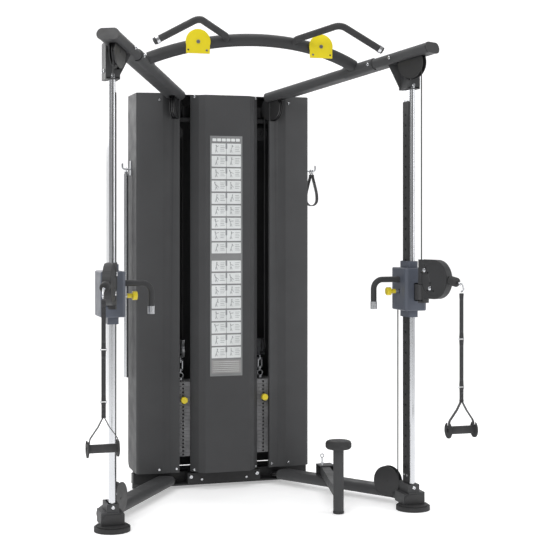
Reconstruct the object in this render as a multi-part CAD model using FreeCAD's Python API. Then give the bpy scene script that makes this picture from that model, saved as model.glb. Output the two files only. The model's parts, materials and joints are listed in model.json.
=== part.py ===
import FreeCAD, Part
import math
import os

V = FreeCAD.Vector
UP = V(0, 0, 1)

# Overall layout, mm. Right-hand side is drawn, the left is its mirror image.
# y = 0 runs through the two chrome posts and +y goes back towards the tower.
Y_ORIGIN = 288.0          # drawn y of the finished frame's origin
POST_X = 727.0
POST_W, POST_D = 30.0, 94.0
POST_Z = (86.0, 2120.0)
STRIP_T, STRIP_W = 4.0, 72.0
STRIP_Z = (112.0, 1963.0)
PITCH = 50.0              # hole pitch of the strip
PIN_Z = 1048.0
TUBE_W, TUBE_H, WALL = 102.0, 50.0, 3.0
ARM_FRONT = V(768, -169, 2204)
ARM_SLOPE = V(478, -869, 157).normalize()
ARM_OUT = V(478, -869, 0).normalize()
ARM_LENGTH = 1076.0
BASE_Z = 50.0
BASE_TURN = V(728, 116, BASE_Z)
BASE_OUT = V(464, -700, 0).normalize()
BASE_LENGTH = 748.0

# Cable and pulleys
CABLE_R = 3.0
CABLE_TOP = V(738, -121, 0)      # plan position of the upper vertical cable
STACK_T = 1082.0                 # its distance to the stack's centre line
R_TOP, R_INNER, R_BASE, R_SWIVEL, R_FLOAT, R_RETURN = 57.0, 57.0, 58.0, 42.0, 35.0, 30.0
TOP_Z, INNER_Z, FLOAT_Z, RETURN_Z = 2141.0, 1980.0, 725.0, 1850.0
BASE_PULLEY = V(670, 133, 106)
AXLE_R, BORE_R = 6.0, 6.08

# Tower
TOWER_Z = (88.0, 2044.0)
SHEET = 2.0
STACK_Y, PLATE_W, PLATE_D, PLATE_T = 827.0, 300.0, 125.0, 19.0
PLATES, LIFTED, STACK_Z = 19, 4, 165.0
ROD_OFFSET, ROD_R = 110.0, 10.0
SIDE_X = 464.0
BACK_Y = 985.0

# Carriage
COVER_X, COVER_Y, COVER_Z = (673.0, 785.0), (-80.0, 100.0), (956.0, 1161.0)
SWIVEL_DIR = V(0.32, -0.947, 0).normalize()
DRUM_R, DRUM_A, DRUM_Z = 92.0, 102.0, 1112.0


def box(x, y, z):
    return Part.makeBox(x[1] - x[0], y[1] - y[0], z[1] - z[0], V(x[0], y[0], z[0]))


def rod(a, b, r):
    return Part.makeCylinder(r, (b - a).Length, a, b - a)


def ring(centre, axis, r_out, r_in, height):
    start = centre - axis * (height / 2)
    return Part.makeCylinder(r_out, height, start, axis).cut(Part.makeCylinder(r_in, height, start, axis))


def mirror(shape):
    return shape.mirror(V(0, 0, 0), V(1, 0, 0))


def both(*shapes):
    out = list(shapes)
    out += [mirror(s) for s in shapes]
    return group(out)


def group(shapes):
    solids = []
    for shape in shapes:
        solids += shape.Solids
    return Part.makeCompound(solids)


def fuse(shapes):
    return shapes[0].fuse(shapes[1:]).removeSplitter()


def cut(shape, *tools):
    return shape.cut(list(tools))


def lay(shape, point, direction):
    """Turns local +Y to the direction, keeps local X level, and moves local zero to the point."""
    y = V(direction).normalize()
    x = y.cross(UP).normalize()
    z = x.cross(y)
    m = FreeCAD.Matrix(x.x, y.x, z.x, point.x, x.y, y.y, z.y, point.y, x.z, y.z, z.z, point.z, 0, 0, 0, 1)
    return placed(shape, m)


def placed(shape, matrix):
    out = shape.copy()
    out.Placement = FreeCAD.Placement(matrix).multiply(out.Placement)
    return out


def oval_wire(w, h):
    """Flat-oval outline in the XZ plane, w wide and h tall, round ends left and right."""
    a, r = w / 2 - h / 2, h / 2
    top = Part.LineSegment(V(-a, 0, r), V(a, 0, r)).toShape()
    right = Part.Arc(V(a, 0, r), V(a + r, 0, 0), V(a, 0, -r)).toShape()
    low = Part.LineSegment(V(a, 0, -r), V(-a, 0, -r)).toShape()
    left = Part.Arc(V(-a, 0, -r), V(-a - r, 0, 0), V(-a, 0, r)).toShape()
    return Part.Wire([top, right, low, left])


def oval_bar(w, h, length):
    return Part.Face(oval_wire(w, h)).extrude(V(0, length, 0))


def rounded_path(points, radii):
    """Polyline whose inner corners are arcs of the given radii."""
    edges, last = [], points[0]
    for before, corner, after, r in zip(points, points[1:], points[2:], radii):
        a, b = (before - corner).normalize(), (after - corner).normalize()
        half = math.acos(max(-1, min(1, a.dot(b)))) / 2
        reach = r / math.tan(half)
        centre = corner + (a + b).normalize() * (r / math.sin(half))
        start, end = corner + a * reach, corner + b * reach
        middle = centre + (corner - centre).normalize() * r
        if (start - last).Length > 1e-3:
            edges.append(Part.LineSegment(last, start).toShape())
        edges.append(Part.Arc(start, middle, end).toShape())
        last = end
    if (points[-1] - last).Length > 1e-3:
        edges.append(Part.LineSegment(last, points[-1]).toShape())
    return Part.Wire(edges)


def round_tube(points, radii, r):
    path = rounded_path(points, radii)
    ring_wire = Part.Wire(Part.makeCircle(r, points[0], points[1] - points[0]))
    return path.makePipeShell([ring_wire], True, False)


def bolt(point, out, r=8.0, h=6.0):
    """Button head standing on the point, facing out, with a hexagon socket."""
    out = V(out).normalize()
    head = Part.makeCylinder(r, h * 0.5, point, out)
    crown = Part.makeCone(r, r * 0.72, h * 0.5, point + out * (h * 0.5), out)
    socket = Part.makeCylinder(r * 0.36, h * 0.5, point + out * (h * 0.55), out)
    return fuse([head, crown]).cut(socket)


def pulley(centre, plane, r, width=15.0, lip=4.5):
    """Grooved sheave in the upright plane that holds the direction given."""
    axis = plane.cross(UP).normalize()
    start = centre - axis * (width / 2)
    sheave = Part.makeCylinder(r + lip, width, start, axis)
    groove = ring(centre, axis, r + lip + 1, r, 7.4)
    throat = Part.makeTorus(r, 3.4, centre, axis)
    bore = Part.makeCylinder(BORE_R, width, start, axis)
    recess_r, hub_r = r - 8.0, 15.0
    sheave = cut(sheave, groove, throat, bore)
    for side in (-1, 1):
        face = centre + axis * (side * (width / 2 - 1.5))
        sheave = sheave.cut(ring(face, axis, recess_r, hub_r, 3.0))
    return sheave


def axle(centre, plane, length):
    axis = plane.cross(UP).normalize()
    return rod(centre - axis * (length / 2), centre + axis * (length / 2), AXLE_R)


def in_plane(origin, plane, along, z):
    p = origin + plane * along
    return V(p.x, p.y, z)


# ---------------------------------------------------------------- cable geometry
TOWARD = ARM_OUT * -1.0
TOP_C = in_plane(CABLE_TOP, TOWARD, R_TOP, TOP_Z)
INNER_T = STACK_T - R_FLOAT - R_INNER
INNER_C = in_plane(CABLE_TOP, TOWARD, INNER_T, INNER_Z)
FLOAT_C = in_plane(CABLE_TOP, TOWARD, STACK_T, FLOAT_Z)
STACK_X = FLOAT_C.x
FRONT_RUN = in_plane(CABLE_TOP, TOWARD, STACK_T - R_FLOAT, 0)
REAR_RUN = in_plane(CABLE_TOP, TOWARD, STACK_T + R_FLOAT, 0)
OUTER_X = 425.0
SIDEWAYS = V(1, 0, 0)
BASE_IN = BASE_OUT * -1.0
BASE_RUN = BASE_PULLEY + BASE_OUT * R_BASE
LOW_Z = BASE_PULLEY.z - R_BASE
TURN_LOW = in_plane(BASE_RUN, BASE_IN, 817.0, LOW_Z)
CORNER_LOW = V(OUTER_X, REAR_RUN.y, LOW_Z)
LOW_DIR = (TURN_LOW - CORNER_LOW).normalize()


def top_cable():
    reach = math.hypot(INNER_T - R_TOP, INNER_Z - TOP_Z)
    tilt = math.atan2(INNER_Z - TOP_Z, INNER_T - R_TOP) - math.asin((R_TOP - R_INNER) / reach)
    z_front = TOP_Z + R_TOP * math.cos(tilt) + (R_TOP * math.sin(tilt) - R_TOP) * math.tan(tilt)
    z_back = z_front + (STACK_T - R_FLOAT) * math.tan(tilt)
    corner_a = in_plane(CABLE_TOP, TOWARD, 0, z_front)
    corner_b = in_plane(CABLE_TOP, TOWARD, STACK_T - R_FLOAT, z_back)
    start = V(corner_a.x, corner_a.y, TOP_Z)
    end = V(corner_b.x, corner_b.y, INNER_Z)
    return round_tube([start, corner_a, corner_b, end], [R_TOP, R_INNER], CABLE_R)


def return_cable(r=CABLE_R):
    a = V(REAR_RUN.x, REAR_RUN.y, RETURN_Z)
    b = V(a.x, a.y, RETURN_Z + R_RETURN)
    c = V(OUTER_X, a.y, b.z)
    end = V(BASE_RUN.x, BASE_RUN.y, BASE_PULLEY.z)
    low = V(BASE_RUN.x, BASE_RUN.y, LOW_Z)
    points = [a, b, c, CORNER_LOW, TURN_LOW, low, end]
    return round_tube(points, [R_RETURN, R_RETURN, R_RETURN, R_RETURN, R_BASE], r)


def stack_cable():
    a = V(REAR_RUN.x, REAR_RUN.y, RETURN_Z - 0.2)
    b = V(REAR_RUN.x, REAR_RUN.y, FLOAT_Z - R_FLOAT)
    c = V(FRONT_RUN.x, FRONT_RUN.y, FLOAT_Z - R_FLOAT)
    d = V(FRONT_RUN.x, FRONT_RUN.y, INNER_Z - 0.2)
    middle = V(FLOAT_C.x, FLOAT_C.y, FLOAT_Z - R_FLOAT)
    low_a, low_b = V(a.x, a.y, FLOAT_Z), V(d.x, d.y, FLOAT_Z)
    path = Part.Wire([
        Part.LineSegment(a, low_a).toShape(),
        Part.Arc(low_a, middle, low_b).toShape(),
        Part.LineSegment(low_b, d).toShape(),
    ])
    return path.makePipeShell([Part.Wire(Part.makeCircle(CABLE_R, a, b - a))], True, False)


def carriage_cable():
    exit_z = DRUM_Z
    top = V(CABLE_TOP.x, CABLE_TOP.y, TOP_Z - 0.2)
    corner = V(CABLE_TOP.x, CABLE_TOP.y, exit_z)
    front = corner + SWIVEL_DIR * 194.5
    upper = round_tube([top, corner, front], [R_SWIVEL], CABLE_R)
    lower = rod(V(BASE_RUN.x, BASE_RUN.y, BASE_PULLEY.z + 0.2), V(BASE_RUN.x, BASE_RUN.y, 984.7), CABLE_R)
    return group([upper, lower])


# ---------------------------------------------------------------- frame
def top_arm(w=TUBE_W, h=TUBE_H, length=ARM_LENGTH):
    back = ARM_SLOPE * -1.0
    return lay(oval_bar(w, h, length), ARM_FRONT, back)


def base_arm(w=TUBE_W, h=TUBE_H):
    tail = BASE_TURN - BASE_OUT * BASE_LENGTH
    nose = V(BASE_TURN.x, -60, BASE_Z)
    path = rounded_path([tail, BASE_TURN, nose], [150.0])
    wire = placed(oval_wire(w, h), lay(Part.Vertex(0, 0, 0), tail, BASE_OUT).Placement.toMatrix())
    return path.makePipeShell([wire], True, False)


def disc(centre, plane, r, width):
    axis = plane.cross(UP).normalize()
    return Part.makeCylinder(r, width, centre - axis * (width / 2), axis)


def step_bracket():
    x, y = 471.0, 504.0
    foot = box((x - 36, x + 36), (y - 34, y + 34), (75.5, 80.0))
    cap = box((x - 34, x + 44), (y - 30, y + 44), (126.0, 131.0))
    wall = box((x + 36, x + 44), (y - 30, y + 44), (75.5, 126.0))
    back = box((x - 34, x + 36), (y + 36, y + 44), (75.5, 126.0))
    pivot = rod(V(x, y, 80), V(x, y, 126), 7.9)
    bracket = fuse([foot, cap, wall, back, pivot])
    holes = rod(V(x - 22, y - 20, 120), V(x - 22, y - 20, 135), 4.05)
    return bracket.cut(holes)


def make_base_arms():
    arm = base_arm().cut(base_arm(TUBE_W - 2 * WALL, TUBE_H - 2 * WALL))
    arm = arm.cut(disc(BASE_PULLEY, BASE_OUT, 79, 34))
    block = box((675, 781), (-60, 58), (27, 84)).cut(base_arm())
    block = block.cut(box((675, 699), (-60, 58), (76, 84)))
    return group([both(arm, block), step_bracket()])


def make_posts():
    post = oval_bar(POST_D, POST_W, POST_Z[1] - POST_Z[0])
    hollow = oval_bar(POST_D - 2 * WALL, POST_W - 2 * WALL, POST_Z[1] - POST_Z[0])
    post = post.cut(hollow)
    post.rotate(V(0, 0, 0), V(1, 0, 0), 90)
    post.rotate(V(0, 0, 0), V(0, 0, 1), 90)
    post.translate(V(POST_X, 0, POST_Z[0]))
    post = post.cut(top_arm())
    return both(post.cut(hole_pins()))


def hole_pins():
    inner = POST_X - POST_W / 2
    pins = []
    for k in range(-17, 18):
        z = PIN_Z + PITCH * k
        pins.append(rod(V(inner - 8, 0, z), V(inner + 10, 0, z), 6.1))
    return Part.makeCompound(pins)


def make_strips():
    inner = POST_X - POST_W / 2
    strip = box((inner - STRIP_T, inner), (-STRIP_W / 2, STRIP_W / 2), STRIP_Z)
    return both(strip.cut(hole_pins()))


def make_brackets():
    post = box((POST_X - 15, POST_X + 15), (-47, 47), (80, 2200))
    top = box((694, 760), (-52, 52), (2021, 2188))
    inner = box((699, 755), (-60, 47), (2026, 2188))
    gusset_points = [V(694, 30, 2021), V(694, 30, 2160), V(622, 30, 2160)]
    gusset = Part.Face(Part.makePolygon(gusset_points + gusset_points[:1])).extrude(V(0, 6, 0))
    shell = fuse([top, gusset]).cut(inner)
    cap = box((699, 755), (-52, -47), (2030, 2140))
    top = fuse([shell, cap]).cut([post, top_arm(), disc(TOP_C, ARM_OUT, 79, 34)])
    foot = box((699, 755), (-56, 58), (84.2, 121)).cut(box((708, 746), (-50, 50), (85, 121)))
    foot = foot.cut(post)
    return both(top, foot)


def make_top_arms():
    hollow = top_arm(TUBE_W - 2 * WALL, TUBE_H - 2 * WALL)
    arm = top_arm().cut(hollow)
    slot = disc(TOP_C, ARM_OUT, 79, 36).common(box((500, 900), (-300, 100), (2000, 2190)))
    notch = lay(box((-19, 19), (0, 200), (-80, -2)), in_plane(CABLE_TOP, TOWARD, 905, 2032), TOWARD)
    return both(cut(arm, slot, notch))


def nose_cap():
    return lay(oval_bar(TUBE_W, TUBE_H, 4), V(BASE_TURN.x, -60, BASE_Z), V(0, -1, 0))


def make_end_caps():
    back = ARM_SLOPE * -1.0
    cap = lay(oval_bar(TUBE_W + 3, TUBE_H + 3, 7), ARM_FRONT - back * 7, back)
    plug = lay(oval_bar(TUBE_W - 2 * WALL - 0.4, TUBE_H - 2 * WALL - 0.4, 20), ARM_FRONT, back)
    return both(fuse([cap, plug]), nose_cap())


BAR_END = V(512, 204, 2152)
BAR_MID = V(0, 99, 2244)
BAR_R = 29.5


def pull_up_curve():
    return Part.Arc(mirror(Part.Vertex(BAR_END)).Point, BAR_MID, BAR_END).toShape()


def pull_up_tube(r=BAR_R):
    curve = pull_up_curve()
    start = curve.valueAt(curve.FirstParameter)
    circle = Part.Wire(Part.makeCircle(r, start, curve.tangentAt(curve.FirstParameter)))
    return Part.Wire(curve).makePipeShell([circle], True, False)


def make_pull_up_bar():
    arms = top_arm()
    tube = pull_up_tube().cut(pull_up_tube(BAR_R - 3)).cut([arms, mirror(arms)])
    start = ARM_FRONT - ARM_SLOPE * 330
    saddle = lay(oval_bar(TUBE_W + 10, TUBE_H + 10, 190), start, ARM_SLOPE * -1.0)
    inner_side = lay(box((-70, -20), (-1, 191), (-40, 40)), start, ARM_SLOPE * -1.0)
    saddle = saddle.common(inner_side).cut([arms, pull_up_tube()])
    return group([tube, saddle, mirror(saddle)])


GRIP_PATH = [V(160, 106, 2236), V(176, 58, 2251), V(340, -91, 2305), V(548, -98, 2190)]


def make_pull_up_grips():
    grip = round_tube(GRIP_PATH, [20.0, 55.0], 16.0)
    end = GRIP_PATH[-1]
    along = (GRIP_PATH[-2] - end).normalize()
    grip = grip.fuse(rod(end + along * 8, end + along * 22, 18.0))
    return both(grip.cut(pull_up_tube(BAR_R + 0.1)))


def make_anchor_plates():
    """D-shaped plates that face forward on the bar, each with its axle and a round stud."""
    centre, front = V(303, 80, 2223), V(0, 1, 0)
    dome = Part.makeCylinder(59, 6, centre, front)
    skirt = box((centre.x - 56, centre.x + 57), (80, 86), (2168, 2223))
    plate = fuse([dome, skirt]).cut(box((200, 400), (70, 90), (2150, 2168)))
    plate = plate.cut(Part.makeCylinder(5, 20, V(350, 76, 2184), front))
    hub = Part.makeCylinder(16, 60, centre + V(0, 6, 0), front)
    stud = Part.makeCylinder(5, 46, V(350, 86, 2216), front)
    plate = fuse([plate, hub, stud]).cut(pull_up_tube())
    plate = plate.common(box((200, 420), (70, 125), (2100, 2400)))
    return both(plate)


# ---------------------------------------------------------------- tower
def wall(points, z, inward):
    """Sheet of folded flats: each flat is an extruded quad, mitred by its neighbours."""
    offset = []
    for k, (x, y) in enumerate(points):
        normals = []
        for a, b in zip(points[max(k - 1, 0):k + 1], points[max(k - 1, 0) + 1:k + 2]):
            dx, dy = b[0] - a[0], b[1] - a[1]
            length = math.hypot(dx, dy)
            normals.append(V(-dy / length, dx / length, 0) * inward)
        mid = sum(normals[1:], normals[0]).normalize()
        offset.append(V(x, y, z[0]) + mid * (SHEET / mid.dot(normals[0])))
    outline = [V(x, y, z[0]) for x, y in points] + offset[::-1]
    return Part.Face(Part.makePolygon(outline + outline[:1])).extrude(V(0, 0, z[1] - z[0]))


def make_centre_cover():
    half = [(180, 763), (180, 757), (148, 704), (118, 680)]
    points = half + [(-x, y) for x, y in half[::-1]]
    return wall(points, (88, 2036), -1)


def wing_points():
    points = [(242, 760), (242, 735), (291, 745), (331, 735), (440, 749)]
    for k in range(1, 6):
        angle = math.radians(90 - 15 * k)
        points.append((SIDE_X - 18 + 18 * math.cos(angle), 768 - 18 * math.sin(angle)))
    return points + [(SIDE_X, 770), (SIDE_X, BACK_Y)]


def make_wings():
    wing = wall(wing_points(), TOWER_Z, 1)
    corner = box((SIDE_X - 10, SIDE_X + 10), (BACK_Y - 40, BACK_Y + 5), (TOWER_Z[0] - 1, TOWER_Z[0] + 40))
    keep = Part.makeCylinder(40, 40, V(SIDE_X - 20, BACK_Y - 40, TOWER_Z[0] + 40), V(1, 0, 0))
    wing = wing.cut(corner.cut(keep))
    return both(wing.cut([top_arm(TUBE_W + 2, TUBE_H + 2), disc(INNER_C, ARM_OUT, 68, 34)]))


def make_back():
    panel = box((-SIDE_X + 2.5, SIDE_X - 2.5), (BACK_Y - 3, BACK_Y - 1), (TOWER_Z[0] + 42, TOWER_Z[1]))
    slots = [box((-120, 120), (BACK_Y - 5, BACK_Y + 1), (z, z + 12)) for z in range(500, 1700, 60)]
    panel = panel.fuse(box((-SIDE_X + 28, SIDE_X - 28), (BACK_Y - 3, BACK_Y - 1), (TOWER_Z[0] - 8, TOWER_Z[0] + 42)))
    flange = both(box((SIDE_X - 22, SIDE_X - 2.4), (BACK_Y - 5, BACK_Y - 3), (TOWER_Z[0] + 42, TOWER_Z[1])))
    lid = box((-SIDE_X + 3, SIDE_X - 3), (772, BACK_Y - 5.5), (TOWER_Z[1] - 3.5, TOWER_Z[1] - 1.5))
    arm = top_arm(TUBE_W + 2, TUBE_H + 2)
    return group([cut(panel, *slots).removeSplitter(), flange, lid.cut([arm, mirror(arm)])])


def make_chart():
    x, z, y = (-94.0, 78.0), (585.0, 1825.0), 678.4
    plate = box(x, (y, 680), z)
    cells = []
    for k in range(9):
        cells.append(box((x[0] + 8, x[1] - 8), (y, y + 0.5), (1733 - 62 * k - 54, 1733 - 62 * k)))
    for k in range(8):
        cells.append(box((x[0] + 8, x[1] - 8), (y, y + 0.5), (1146 - 61 * k - 53, 1146 - 61 * k)))
    cells.append(box((x[0] + 8, x[1] - 8), (y, y + 0.5), (592, 655)))
    cells.append(box((x[0] + 8, x[1] - 8), (y, y + 0.5), (1790, 1816)))
    return plate.cut(cells)


def make_tower_frame():
    """Welded bars, each a box of its own that touches its neighbours."""
    centre = [
        box((-345, 345), (752, 862), (17, 25)),
        box((-195, 195), (750, 790), (25, 78)),
        box((-470, 470), (812, 862), (25, 78)),
        box((-440, 440), (930, 975), (25, 78)),
        box((-440, 440), (880, 930), (1990, 2040)),
        box((-30, 30), (790, 812), (25, 2036)),
        box((-30, 30), (812, 880), (1990, 2036)),
    ]
    for z in (300, 1100, 1900):
        centre.append(box((-30, 30), (682, 790), (z, z + 40)))
    side = [
        box((400, 450), (880, 930), (78, 1990)),
        box((400, 450), (862, 930), (25, 78)),
        box((90, 450), (812, 842), (1905, 1925)),
        box((400, 450), (842, 880), (1905, 1925)),
    ]
    for across in (-1, 1):
        cheek = box((across * 19 - 2.5, across * 19 + 2.5), (0, 124), (1935, 1988))
        side.append(lay(cheek, in_plane(CABLE_TOP, TOWARD, 1062, 0), TOWARD).cut(centre[4]))
    room = [return_cable(8.0)]
    for middle, plane in return_sheaves()[2:]:
        room.append(disc(middle, plane, R_RETURN + 8, 18))
    for across in (-1, 1):
        x = STACK_X + across * ROD_OFFSET
        room.append(rod(V(x, STACK_Y, 60), V(x, STACK_Y, 1930), ROD_R + 0.05))
    room += [mirror(r) for r in room]
    return group([b.cut(room) for b in centre] + [both(b.cut(room)) for b in side])


def make_rods():
    rods = []
    for side in (-1, 1):
        x = STACK_X + side * ROD_OFFSET
        rods.append(rod(V(x, STACK_Y, 60), V(x, STACK_Y, 1925), ROD_R))
    return both(*rods)


def plate(z, thick, width=PLATE_W):
    """One weight plate with its two guide holes, centre hole and pin hole."""
    slab = box((STACK_X - width / 2, STACK_X + width / 2),
               (STACK_Y - PLATE_D / 2, STACK_Y + PLATE_D / 2), (z, z + thick - 0.2))
    slab = slab.makeChamfer(1.6, slab.Edges)
    holes = [rod(V(STACK_X, STACK_Y, z - 1), V(STACK_X, STACK_Y, z + thick), 13.0)]
    for side in (-1, 1):
        x = STACK_X + side * ROD_OFFSET
        holes.append(rod(V(x, STACK_Y, z - 1), V(x, STACK_Y, z + thick), ROD_R + 0.3))
    mid = z + thick / 2
    holes.append(rod(V(STACK_X, STACK_Y - PLATE_D, mid), V(STACK_X, STACK_Y, mid), 5.4))
    return slab.cut(holes)


def make_stack():
    resting, lifted = [], []
    for k in range(PLATES):
        z = STACK_Z + PLATE_T * k
        (resting if k < PLATES - LIFTED else lifted).append(plate(z, PLATE_T))
    head_z = STACK_Z + PLATE_T * PLATES
    head = plate(head_z, 26.2, PLATE_W - 8)
    lifted.append(head)
    return group(resting), group(lifted)


PIN_HOLE_Z = STACK_Z + PLATE_T * (PLATES - LIFTED) + PLATE_T / 2


def make_selector():
    """Selector rod, lifting eye, turnbuckle and the floating pulley's block."""
    x, y = STACK_X, STACK_Y
    stem = rod(V(x, y, 170), V(x, y, 560), 11.0)
    holes = []
    for k in range(PLATES):
        z = STACK_Z + PLATE_T * (k + 0.5)
        holes.append(rod(V(x, y - 20, z), V(x, y + 20, z), 4.9))
    stem = stem.cut(holes)
    collar = rod(V(x, y, 552), V(x, y, 566), 19.0)
    eye = Part.makeTorus(14, 3.5, V(x, y, 579), V(0, 1, 0))
    screw_low = rod(V(x, y, 590), V(x, y, 612), 5.0)
    buckle = fuse([rod(V(x, y, 604), V(x, y, 612), 12), rod(V(x, y, 652), V(x, y, 660), 12)])
    rails = [box((x - 12, x - 7), (y - 4, y + 4), (608, 656)), box((x + 7, x + 12), (y - 4, y + 4), (608, 656))]
    screw_high = rod(V(x, y, 645), V(x, y, 682), 5.0)
    yoke = box((-17, 17), (-20, 20), (674, 681))
    cheeks = [box((-17, -12), (-20, 20), (674, 762)), box((12, 17), (-20, 20), (674, 762))]
    block = lay(fuse([yoke] + cheeks), V(x, y, 0), TOWARD)
    pin = axle(FLOAT_C, ARM_OUT, 40)
    return fuse([stem, collar, eye, screw_low, buckle] + rails + [screw_high, block, pin])


def make_selector_pin():
    x, front = STACK_X, STACK_Y - PLATE_D / 2
    z = PIN_HOLE_Z
    shaft = rod(V(x, front - 4, z), V(x, STACK_Y + 11.5, z), 4.8)
    neck = rod(V(x, front - 12, z), V(x, front - 0.5, z), 9)
    knob = rod(V(x, front - 38, z), V(x, front - 12, z), 17)
    knob = knob.makeFillet(4, [e for e in knob.Edges if e.Length > 50])
    return fuse([shaft, neck, knob])


# ---------------------------------------------------------------- carriage
def make_carriage_cover():
    shell = box(COVER_X, COVER_Y, COVER_Z)
    shell = shell.makeFillet(17.0, [e for e in shell.Edges if e.Length > 204])
    shell = shell.makeFillet(6.0, [e for e in shell.Edges if e.Length < 150 and e.BoundBox.ZLength < 1])
    inner = box((COVER_X[0] + 4, COVER_X[1] - 4), (COVER_Y[0] + 4, COVER_Y[1] - 4),
                (COVER_Z[0] + 4, COVER_Z[1] - 4))
    inner = inner.makeFillet(13.0, [e for e in inner.Edges if e.BoundBox.ZLength > 100])
    way = box((699.5, 750.5), (-55.5, 55.5), (900, 1200))
    cable = rod(V(BASE_RUN.x, BASE_RUN.y, 950), V(BASE_RUN.x, BASE_RUN.y, 970), 7)
    window = box((718, 758), (-90, -70), (1004, 1090))
    handle = rod(V(660, 0, 1105), V(690, 0, 1105), 14.3)
    knob = rod(V(660, 0, PIN_Z), V(690, 0, PIN_Z), 11.5)
    return cut(shell, inner, way, cable, window, handle, knob)


def sleeve_block():
    block = box((700, 750), (-55, 55), (924, 1193))
    return block.makeFillet(8.0, [e for e in block.Edges if e.BoundBox.ZLength > 100])


def make_carriage_frame():
    """Sleeve on the post, cable anchor, swivel block and L-shaped lifting handle, welded together."""
    sleeve = sleeve_block().cut(box((706.5, 743.5), (-48.5, 48.5), (900, 1200)))
    anchor = box((693, 712), (55, 94), (985, 1003))
    pivot = fuse([box((722, 754), (-121, -55), (1010, 1084)), rod(V(738, -121, 1010), V(738, -121, 1084), 16)])
    handle = round_tube([V(700, 0, 1105), V(542, 0, 1105), V(542, 0, 976)], [45.0], 14.0)
    cap = rod(V(542, 0, 964), V(542, 0, 1000), 15.5)
    pivot = pivot.cut([rod(V(738, -121, 1000), V(738, -121, 1090), 5.1), sleeve_block()])
    handle = fuse([handle, cap]).cut(sleeve_block())
    sleeve = sleeve.cut(rod(V(690, 0, PIN_Z), V(707, 0, PIN_Z), 6.1))
    return group([sleeve, anchor, pivot, handle])


def make_knob():
    head = rod(V(607, 0, PIN_Z), V(630, 0, PIN_Z), 20)
    head = head.makeFillet(4, [e for e in head.Edges if e.Length > 100])
    neck = rod(V(629, 0, PIN_Z), V(653, 0, PIN_Z), 10.5)
    shaft = rod(V(650, 0, PIN_Z), V(707.5, 0, PIN_Z), 6.0)
    return fuse([head, neck, shaft])


def drum_point(a, z, side=0.0):
    across = SWIVEL_DIR.cross(UP)
    return V(CABLE_TOP.x, CABLE_TOP.y, z) + SWIVEL_DIR * a + across * side


UPPER_AXLE = (R_SWIVEL, DRUM_Z + R_SWIVEL)
LOWER_AXLE = (80.0, DRUM_Z - R_SWIVEL)


def make_housing():
    across = SWIVEL_DIR.cross(UP)
    solids = []
    for side in (-1, 1):
        start = drum_point(DRUM_A, DRUM_Z, side * 16.5 - (1.5 if side < 0 else 0))
        face = Part.makeCylinder(DRUM_R, 1.5, start, across)
        low, high = sorted((side * 16.5, side * 18.0))
        flank = lay(box((low, high), (-3, DRUM_A), (1020, 1204)), V(CABLE_TOP.x, CABLE_TOP.y, 0), SWIVEL_DIR)
        band = ring(drum_point(DRUM_A, DRUM_Z, side * 18.9), across, DRUM_R - 2, DRUM_R - 12, 1.8)
        solids.append(fuse([face, flank, band]))
    rim = ring(drum_point(DRUM_A, DRUM_Z), across, DRUM_R, DRUM_R - 6, 36)
    front = lay(box((-18, 18), (DRUM_A, 210), (1000, 1220)), V(CABLE_TOP.x, CABLE_TOP.y, 0), SWIVEL_DIR)
    rim = rim.common(front)
    mouth = lay(box((-9, 9), (150, 210), (1096, 1128)), V(CABLE_TOP.x, CABLE_TOP.y, 0), SWIVEL_DIR)
    lugs = []
    for z in (998, 1088):
        lug = fuse([
            rod(V(738, -121, z), V(738, -121, z + 8), 16),
            lay(box((-16, 16), (0, 30), (z, z + 8)), V(738, -121, 0), SWIVEL_DIR),
        ])
        lugs.append(lug)
    web = lay(box((-16.5, 16.5), (26, 34), (998, 1096)), V(738, -121, 0), SWIVEL_DIR)
    body = fuse(solids + [rim, web] + lugs)
    clear = lay(box((-30, 30), (-10, 25), (1006.5, 1087.5)), V(738, -121, 0), SWIVEL_DIR)
    body = body.cut([clear, mouth])
    for a, z in (UPPER_AXLE, LOWER_AXLE):
        body = body.fuse(axle(drum_point(a, z), SWIVEL_DIR, 41))
        for k in range(3):
            turn = math.radians(90 + 120 * k)
            hole = drum_point(a + 24 * math.cos(turn), z + 24 * math.sin(turn), -30)
            body = body.cut(Part.makeCylinder(4.5, 60, hole, across))
    low_disc = disc(drum_point(*LOWER_AXLE), SWIVEL_DIR, R_SWIVEL + 6, 17)
    high_disc = disc(drum_point(*UPPER_AXLE), SWIVEL_DIR, R_SWIVEL + 6, 17)
    room = fuse([low_disc, high_disc]).cut([axle(drum_point(*LOWER_AXLE), SWIVEL_DIR, 40),
                                            axle(drum_point(*UPPER_AXLE), SWIVEL_DIR, 40)])
    body = body.cut(room)
    pin = rod(V(738, -121, 998), V(738, -121, 1096), 5.0)
    return fuse([body, pin])


def make_clip():
    """Rubber stopper ball and the carabiner that carries the handle."""
    tilt = math.radians(10)
    out = SWIVEL_DIR * math.cos(tilt) - UP * math.sin(tilt)
    start = drum_point(197, 1111)
    stop = Part.makeCylinder(22, 50, start, out)
    stop = stop.makeFillet(9, [e for e in stop.Edges if e.Length > 100])
    eye = rod(start + out * 48, start + out * 62, 6)
    high, low = drum_point(262, 1092), drum_point(270, 1062)
    link = round_tube([high, drum_point(276, 1104), drum_point(288, 1070), low], [8.0, 8.0], 4.0)
    return fuse([stop, eye, link])


HANG = V(824, -380, 0)


def web_strip(z0, z1, half=10.0, thick=3.0):
    return lay(box((-half, half), (-thick / 2, thick / 2), (z0, z1)), V(HANG.x, HANG.y, 0), V(0, -1, 0))


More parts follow.
